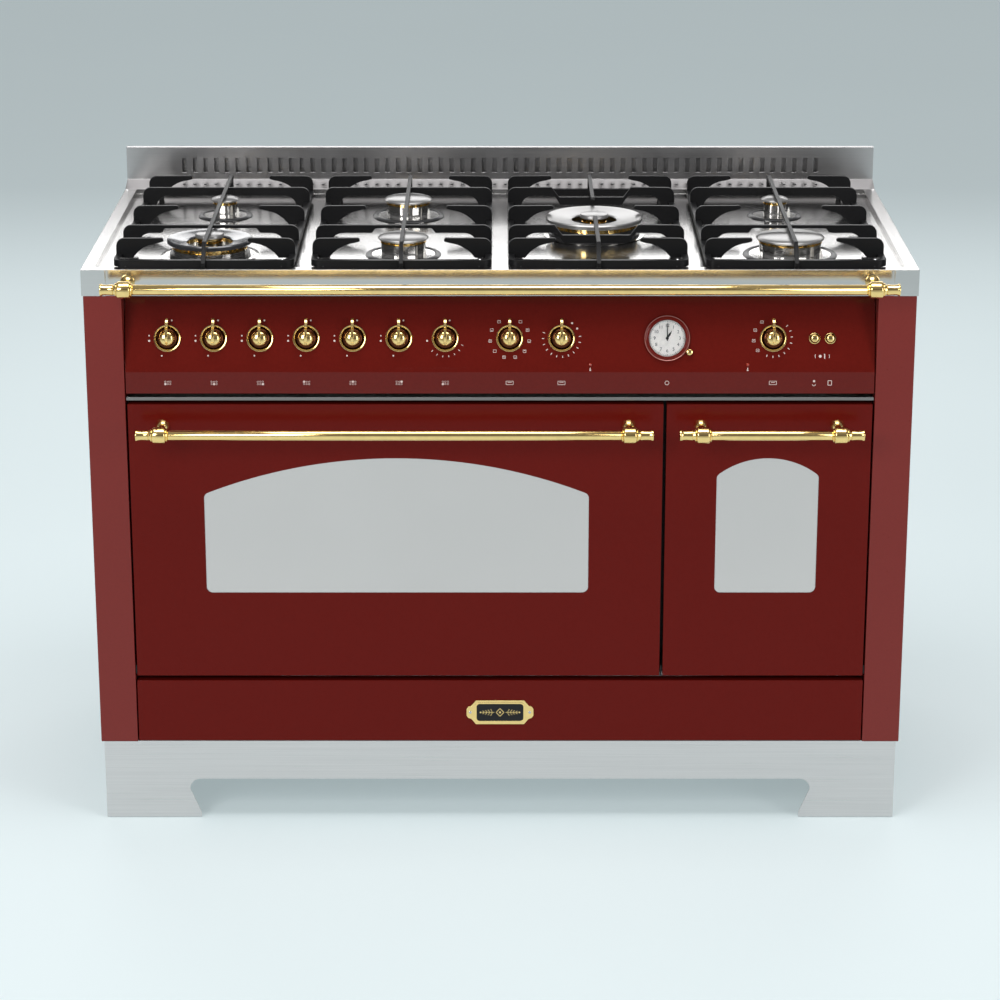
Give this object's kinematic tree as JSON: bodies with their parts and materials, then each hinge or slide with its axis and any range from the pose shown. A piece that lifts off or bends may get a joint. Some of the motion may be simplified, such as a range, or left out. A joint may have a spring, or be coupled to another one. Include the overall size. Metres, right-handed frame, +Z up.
{
  "type": "freestanding gas range",
  "caption": "Freestanding gas range with a cast-iron topped hob, tilted control panel with clock, side-by-side ovens, storage drawer and bracket-foot plinth.",
  "frame": {"origin": "on the floor, under the centre of the range's overall box", "axes": "+X to the right of someone facing the doors, +Y to the wall, +Z up"},
  "size_m": [1.2, 0.6622, 0.912],
  "materials": {
    "enamel": "gloss burgundy enamel",
    "pillar_enamel": "satin burgundy enamel",
    "stainless": "brushed",
    "zinc_steel": "zinc coated",
    "liner_enamel": "speckled dark enamel",
    "brass": "polished",
    "black_plastic": "matte",
    "burner_alloy": "machined",
    "cap_enamel": "black enamel",
    "cast_iron": "matte black enamel",
    "spark_ceramic": "glazed",
    "chromed_wire": "bright",
    "element_steel": "oxidised",
    "fan_steel": "stamped",
    "dial_enamel": "ivory",
    "clear_glass": "polished",
    "hand_black": "satin",
    "red_lens": "gloss",
    "coated_glass": "mirror coated"
  },
  "bodies": {
    "cabinet": {"side_panel_left": "pillar_enamel", "side_panel_right": "pillar_enamel", "back_panel": "zinc_steel", "base_pan": "zinc_steel", "plinth": "stainless", "leveling_feet": "black_plastic", "hob_top": "stainless", "rear_upstand": "stainless", "front_frame": "zinc_steel", "control_panel": "enamel", "vent_strip": "stainless", "top_rail": "brass", "knob_bezels": "brass", "clock_case": "enamel", "clock_dial": "dial_enamel", "clock_glass": "clear_glass", "indicator_lamps": "red_lens", "gas_pipes": "brass", "taps_and_switches": "brass", "burner_bodies": "burner_alloy", "burner_caps": "cap_enamel", "igniters": "spark_ceramic", "large_oven_cavity": "liner_enamel", "small_oven_cavity": "liner_enamel", "oven_racks": "chromed_wire", "oven_elements": "element_steel", "fan_motor": "zinc_steel", "drawer_runners": "zinc_steel", "door_hinges": "zinc_steel"},
    "large_door": {"large_door_panel": "enamel", "large_door_window": "coated_glass", "large_door_liner": "liner_enamel", "large_door_handle": "brass"},
    "small_door": {"small_door_panel": "enamel", "small_door_window": "coated_glass", "small_door_liner": "liner_enamel", "small_door_handle": "brass"},
    "drawer": {"drawer_front": "enamel", "drawer_box": "zinc_steel", "drawer_badge": "brass"},
    "knob_burner_1": {"knob_burner_1": "brass"},
    "knob_burner_2": {"knob_burner_2": "brass"},
    "knob_burner_3": {"knob_burner_3": "brass"},
    "knob_burner_4": {"knob_burner_4": "brass"},
    "knob_burner_5": {"knob_burner_5": "brass"},
    "knob_burner_6": {"knob_burner_6": "brass"},
    "knob_burner_7": {"knob_burner_7": "brass"},
    "knob_oven_mode": {"knob_oven_mode": "brass"},
    "knob_oven_heat": {"knob_oven_heat": "brass"},
    "knob_small_oven": {"knob_small_oven": "brass"},
    "button_left": {"button_left": "brass"},
    "button_right": {"button_right": "brass"},
    "clock_button": {"clock_button": "brass"},
    "hour_hand": {"hour_hand": "hand_black"},
    "minute_hand": {"minute_hand": "hand_black"},
    "oven_fan": {"oven_fan": "fan_steel"},
    "grate_1": {"grate_1": "cast_iron"},
    "grate_2": {"grate_2": "cast_iron"},
    "grate_3": {"grate_3": "cast_iron"},
    "grate_4": {"grate_4": "cast_iron"}
  },
  "joints": [
    {"name": "large_door_hinge", "type": "hinge", "parent": "cabinet", "child": "large_door", "pos_m": [-0.1515, -0.26088, 0.2386], "axis": [1, 0, 0], "range_deg": [0, 90]},
    {"name": "small_door_hinge", "type": "hinge", "parent": "cabinet", "child": "small_door", "pos_m": [0.391, -0.26088, 0.2386], "axis": [1, 0, 0], "range_deg": [0, 90]},
    {"name": "drawer_slide", "type": "slide", "parent": "cabinet", "child": "drawer", "axis": [0, -1, 0], "range_m": [0, 0.34]},
    {"name": "knob_burner_1_turn", "type": "hinge", "parent": "cabinet", "child": "knob_burner_1", "pos_m": [-0.4805, -0.25353, 0.74515], "axis": [0, -0.9622, 0.2723], "range_deg": [0, 210]},
    {"name": "knob_burner_2_turn", "type": "hinge", "parent": "cabinet", "child": "knob_burner_2", "pos_m": [-0.41359, -0.25353, 0.74515], "axis": [0, -0.9622, 0.2723], "range_deg": [0, 210]},
    {"name": "knob_burner_3_turn", "type": "hinge", "parent": "cabinet", "child": "knob_burner_3", "pos_m": [-0.34668, -0.25353, 0.74515], "axis": [0, -0.9622, 0.2723], "range_deg": [0, 210]},
    {"name": "knob_burner_4_turn", "type": "hinge", "parent": "cabinet", "child": "knob_burner_4", "pos_m": [-0.27977, -0.25353, 0.74515], "axis": [0, -0.9622, 0.2723], "range_deg": [0, 210]},
    {"name": "knob_burner_5_turn", "type": "hinge", "parent": "cabinet", "child": "knob_burner_5", "pos_m": [-0.21285, -0.25353, 0.74515], "axis": [0, -0.9622, 0.2723], "range_deg": [0, 210]},
    {"name": "knob_burner_6_turn", "type": "hinge", "parent": "cabinet", "child": "knob_burner_6", "pos_m": [-0.14594, -0.25353, 0.74515], "axis": [0, -0.9622, 0.2723], "range_deg": [0, 210]},
    {"name": "knob_burner_7_turn", "type": "hinge", "parent": "cabinet", "child": "knob_burner_7", "pos_m": [-0.07903, -0.25353, 0.74515], "axis": [0, -0.9622, 0.2723], "range_deg": [0, 210]},
    {"name": "knob_oven_mode_turn", "type": "hinge", "parent": "cabinet", "child": "knob_oven_mode", "pos_m": [0.01397, -0.25353, 0.74515], "axis": [0, -0.9622, 0.2723], "continuous": true},
    {"name": "knob_oven_heat_turn", "type": "hinge", "parent": "cabinet", "child": "knob_oven_heat", "pos_m": [0.08891, -0.25353, 0.74515], "axis": [0, -0.9622, 0.2723], "range_deg": [-300, 0]},
    {"name": "knob_small_oven_turn", "type": "hinge", "parent": "cabinet", "child": "knob_small_oven", "pos_m": [0.3947, -0.25353, 0.74515], "axis": [0, -0.9622, 0.2723], "range_deg": [-310, 0]},
    {"name": "button_left_press", "type": "slide", "parent": "cabinet", "child": "button_left", "axis": [0, 0.9622, -0.2723], "range_m": [0, 0.003], "stiffness_N_per_m": 400, "springref_m": -0.002},
    {"name": "button_right_press", "type": "slide", "parent": "cabinet", "child": "button_right", "axis": [0, 0.9622, -0.2723], "range_m": [0, 0.003], "stiffness_N_per_m": 400, "springref_m": -0.002},
    {"name": "clock_button_press", "type": "slide", "parent": "cabinet", "child": "clock_button", "axis": [0, 0.9622, -0.2723], "range_m": [0, 0.002], "stiffness_N_per_m": 300, "springref_m": -0.002},
    {"name": "minute_hand_turn", "type": "hinge", "parent": "cabinet", "child": "minute_hand", "pos_m": [0.24147, -0.25353, 0.74515], "axis": [0, 0.9622, -0.2723], "continuous": true},
    {"name": "hour_hand_turn", "type": "hinge", "parent": "cabinet", "child": "hour_hand", "pos_m": [0.24147, -0.25353, 0.74515], "axis": [0, 0.9622, -0.2723], "continuous": true},
    {"name": "fan_spin", "type": "hinge", "parent": "cabinet", "child": "oven_fan", "pos_m": [-0.1515, 0.19912, 0.442], "axis": [0, 1, 0], "continuous": true},
    {"name": "grate_1_lift", "type": "slide", "parent": "cabinet", "child": "grate_1", "axis": [0, 0, 1], "range_m": [0, 0.08]},
    {"name": "grate_2_lift", "type": "slide", "parent": "cabinet", "child": "grate_2", "axis": [0, 0, 1], "range_m": [0, 0.08]},
    {"name": "grate_3_lift", "type": "slide", "parent": "cabinet", "child": "grate_3", "axis": [0, 0, 1], "range_m": [0, 0.08]},
    {"name": "grate_4_lift", "type": "slide", "parent": "cabinet", "child": "grate_4", "axis": [0, 0, 1], "range_m": [0, 0.08]}
  ],
  "couplings": [
    {"joint": "hour_hand_turn", "follows": "minute_hand_turn", "ratio": 0.083333}
  ]
}
